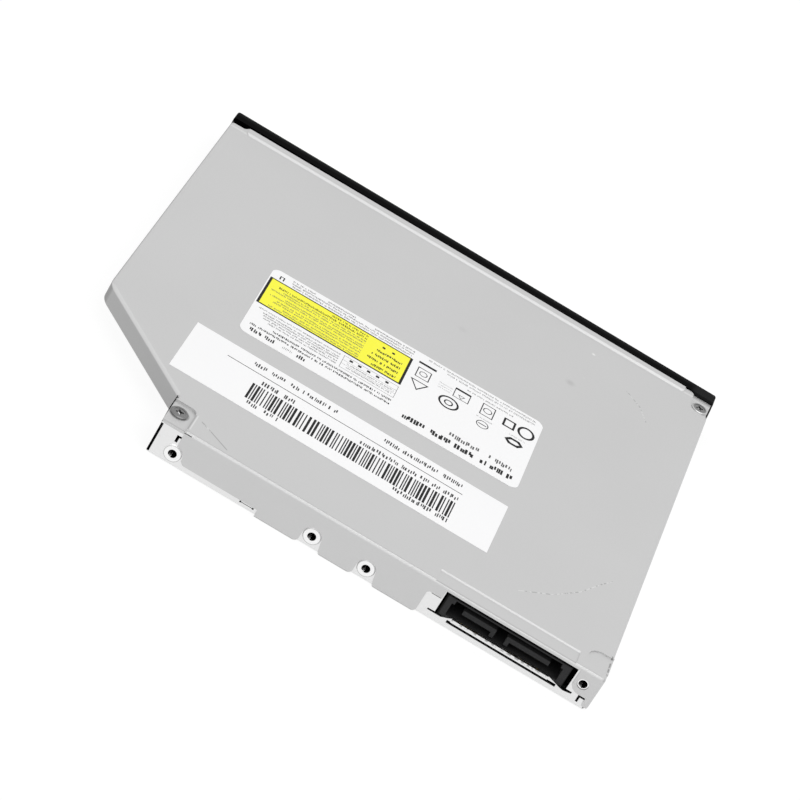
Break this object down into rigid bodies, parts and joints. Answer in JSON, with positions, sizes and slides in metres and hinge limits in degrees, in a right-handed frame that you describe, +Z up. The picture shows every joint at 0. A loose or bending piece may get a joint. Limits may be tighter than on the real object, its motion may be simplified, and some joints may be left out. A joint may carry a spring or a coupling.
{
  "type": "internal dvd writer",
  "caption": "Slim tray-loading optical disc drive for notebooks, with a pressed cover, stepped rear wall, socket and a sliding tray that carries spindle and pickup.",
  "frame": {"origin": "underside, below the middle of the drive with its bezel", "axes": "+X right as seen from the front, +Y from the bezel to the rear, +Z up"},
  "size_m": [0.1282, 0.1306, 0.0095],
  "materials": {
    "cover_steel": "satin grey zinc coat",
    "chassis_steel": "bright satin",
    "screw_steel": "satin",
    "nut_steel": "satin",
    "label_film": "matte white sticker",
    "connector_black": "matte",
    "contact_gold": "gold plated",
    "board_green": "solder mask",
    "chip_black": "matte moulding",
    "component_tan": "matte",
    "socket_ivory": "matte",
    "film_black": "satin film",
    "guide_black": "matte",
    "rail_steel": "satin",
    "spring_steel": "satin",
    "cable_film": "satin film",
    "tray_plastic": "fine texture",
    "bezel_plastic": "satin black",
    "underside_steel": "satin",
    "cover_black": "satin black",
    "deck_metal": "cast",
    "rubber_black": "matte",
    "rod_steel": "ground",
    "stator_steel": "satin",
    "turntable_metal": "turned",
    "claw_plastic": "natural",
    "sled_metal": "zinc casting",
    "follower_plastic": "natural",
    "magnet_steel": "plated",
    "heat_copper": "satin",
    "holder_plastic": "matte",
    "lens_glass": "coated",
    "screw_shaft_steel": "ground",
    "motor_steel": "drawn can",
    "lamp_clear": "clear",
    "coil_copper": "enamelled"
  },
  "bodies": {
    "case": {"bottom_chassis": "chassis_steel", "top_cover": "cover_steel", "cover_screws": "screw_steel", "mount_nuts": "nut_steel", "rating_label": "label_film", "serial_label": "label_film", "connector_housing": "connector_black", "connector_contacts": "contact_gold", "main_board": "board_green", "controller_chip": "chip_black", "driver_chip": "chip_black", "memory_chip": "chip_black", "board_passives": "component_tan", "board_socket": "socket_ivory", "insulating_sheet": "film_black", "corner_strip": "guide_black", "guide_left": "guide_black", "guide_right": "guide_black", "latch_post": "rod_steel", "pusher_guide": "guide_black", "eject_spring": "spring_steel", "cable_floor_leg": "cable_film"},
    "right_slide": {"rail_right": "rail_steel", "cable_bend": "cable_film"},
    "left_slide": {"rail_left": "rail_steel"},
    "tray_unit": {"tray": "tray_plastic", "bezel": "bezel_plastic", "tray_underside": "underside_steel", "mechanism_cover": "cover_black", "deck_frame": "deck_metal", "deck_dampers": "rubber_black", "deck_screws": "screw_steel", "guide_rods": "rod_steel", "spindle_stator": "stator_steel", "stepper_motor": "motor_steel", "screw_bracket": "underside_steel", "button_board": "board_green", "push_switch": "chip_black", "indicator_lamp": "lamp_clear", "light_guide": "lamp_clear", "latch_solenoid": "coil_copper", "lever_pin": "rod_steel", "tray_socket": "socket_ivory", "cable_tray_leg": "cable_film"},
    "pusher": {"eject_pusher": "claw_plastic"},
    "button": {"eject_button": "bezel_plastic"},
    "spindle": {"turntable": "turntable_metal", "turntable_ring": "rubber_black"},
    "claw_1": {"chuck_claw_1": "claw_plastic"},
    "claw_2": {"chuck_claw_2": "claw_plastic"},
    "claw_3": {"chuck_claw_3": "claw_plastic"},
    "sled": {"pickup_sled": "sled_metal", "screw_follower": "follower_plastic", "actuator_yoke": "magnet_steel", "laser_plate": "heat_copper"},
    "lens": {"lens_holder": "holder_plastic", "objective_lens": "lens_glass"},
    "screw": {"lead_screw": "screw_shaft_steel"},
    "latch": {"latch_lever": "claw_plastic"},
    "plunger": {"solenoid_plunger": "screw_shaft_steel"}
  },
  "joints": [
    {"name": "right_rail_slide", "type": "slide", "parent": "case", "child": "right_slide", "axis": [0, -1, 0], "range_m": [0, 0.063], "deforming": ["cable_floor_leg", "cable_tray_leg", "cable_bend"]},
    {"name": "left_rail_slide", "type": "slide", "parent": "case", "child": "left_slide", "axis": [0, -1, 0], "range_m": [0, 0.063]},
    {"name": "tray_slide", "type": "slide", "parent": "right_slide", "child": "tray_unit", "axis": [0, -1, 0], "range_m": [0, 0.063], "deforming": ["cable_tray_leg", "cable_bend"]},
    {"name": "pusher_slide", "type": "slide", "parent": "case", "child": "pusher", "axis": [0, -1, 0], "range_m": [0, 0.0113], "deforming": ["eject_spring"]},
    {"name": "button_press", "type": "slide", "parent": "tray_unit", "child": "button", "axis": [0, 1, 0], "range_m": [0, 0.0006], "stiffness_N_per_m": 800},
    {"name": "spindle_spin", "type": "hinge", "parent": "tray_unit", "child": "spindle", "pos_m": [0, 0.0007, 0.005], "axis": [0, 0, 1], "continuous": true},
    {"name": "sled_travel", "type": "slide", "parent": "tray_unit", "child": "sled", "axis": [-0.7071, -0.7071, 0], "range_m": [0, 0.035]},
    {"name": "screw_turn", "type": "hinge", "parent": "tray_unit", "child": "screw", "pos_m": [0.00177, -0.02935, 0.00355], "axis": [-0.7071, -0.7071, 0], "range_deg": [0, 4210]},
    {"name": "lens_focus", "type": "slide", "parent": "sled", "child": "lens", "axis": [0, 0, 1], "range_m": [-0.0003, 0.0003], "stiffness_N_per_m": 60},
    {"name": "latch_turn", "type": "hinge", "parent": "tray_unit", "child": "latch", "pos_m": [0.028, -0.0473, 0.0031], "axis": [0, 0, 1], "range_deg": [0, 20]},
    {"name": "plunger_slide", "type": "slide", "parent": "tray_unit", "child": "plunger", "axis": [1, 0, 0], "range_m": [0, 0.0018], "stiffness_N_per_m": 150},
    {"name": "claw_1_press", "type": "slide", "parent": "spindle", "child": "claw_1", "axis": [0, -1, 0], "range_m": [0, 0.0005], "stiffness_N_per_m": 1500},
    {"name": "claw_2_press", "type": "slide", "parent": "spindle", "child": "claw_2", "axis": [0.866, 0.5, 0], "range_m": [0, 0.0005], "stiffness_N_per_m": 1500},
    {"name": "claw_3_press", "type": "slide", "parent": "spindle", "child": "claw_3", "axis": [-0.866, 0.5, 0], "range_m": [0, 0.0005], "stiffness_N_per_m": 1500}
  ],
  "couplings": [
    {"joint": "left_rail_slide", "follows": "right_rail_slide", "ratio": 1},
    {"joint": "tray_slide", "follows": "right_rail_slide", "ratio": 1},
    {"joint": "pusher_slide", "follows": "right_rail_slide", "ratio": 0.179},
    {"joint": "screw_turn", "follows": "sled_travel", "rad_per_m": 2094.4},
    {"joint": "latch_turn", "follows": "plunger_slide", "rad_per_m": 193.9}
  ]
}
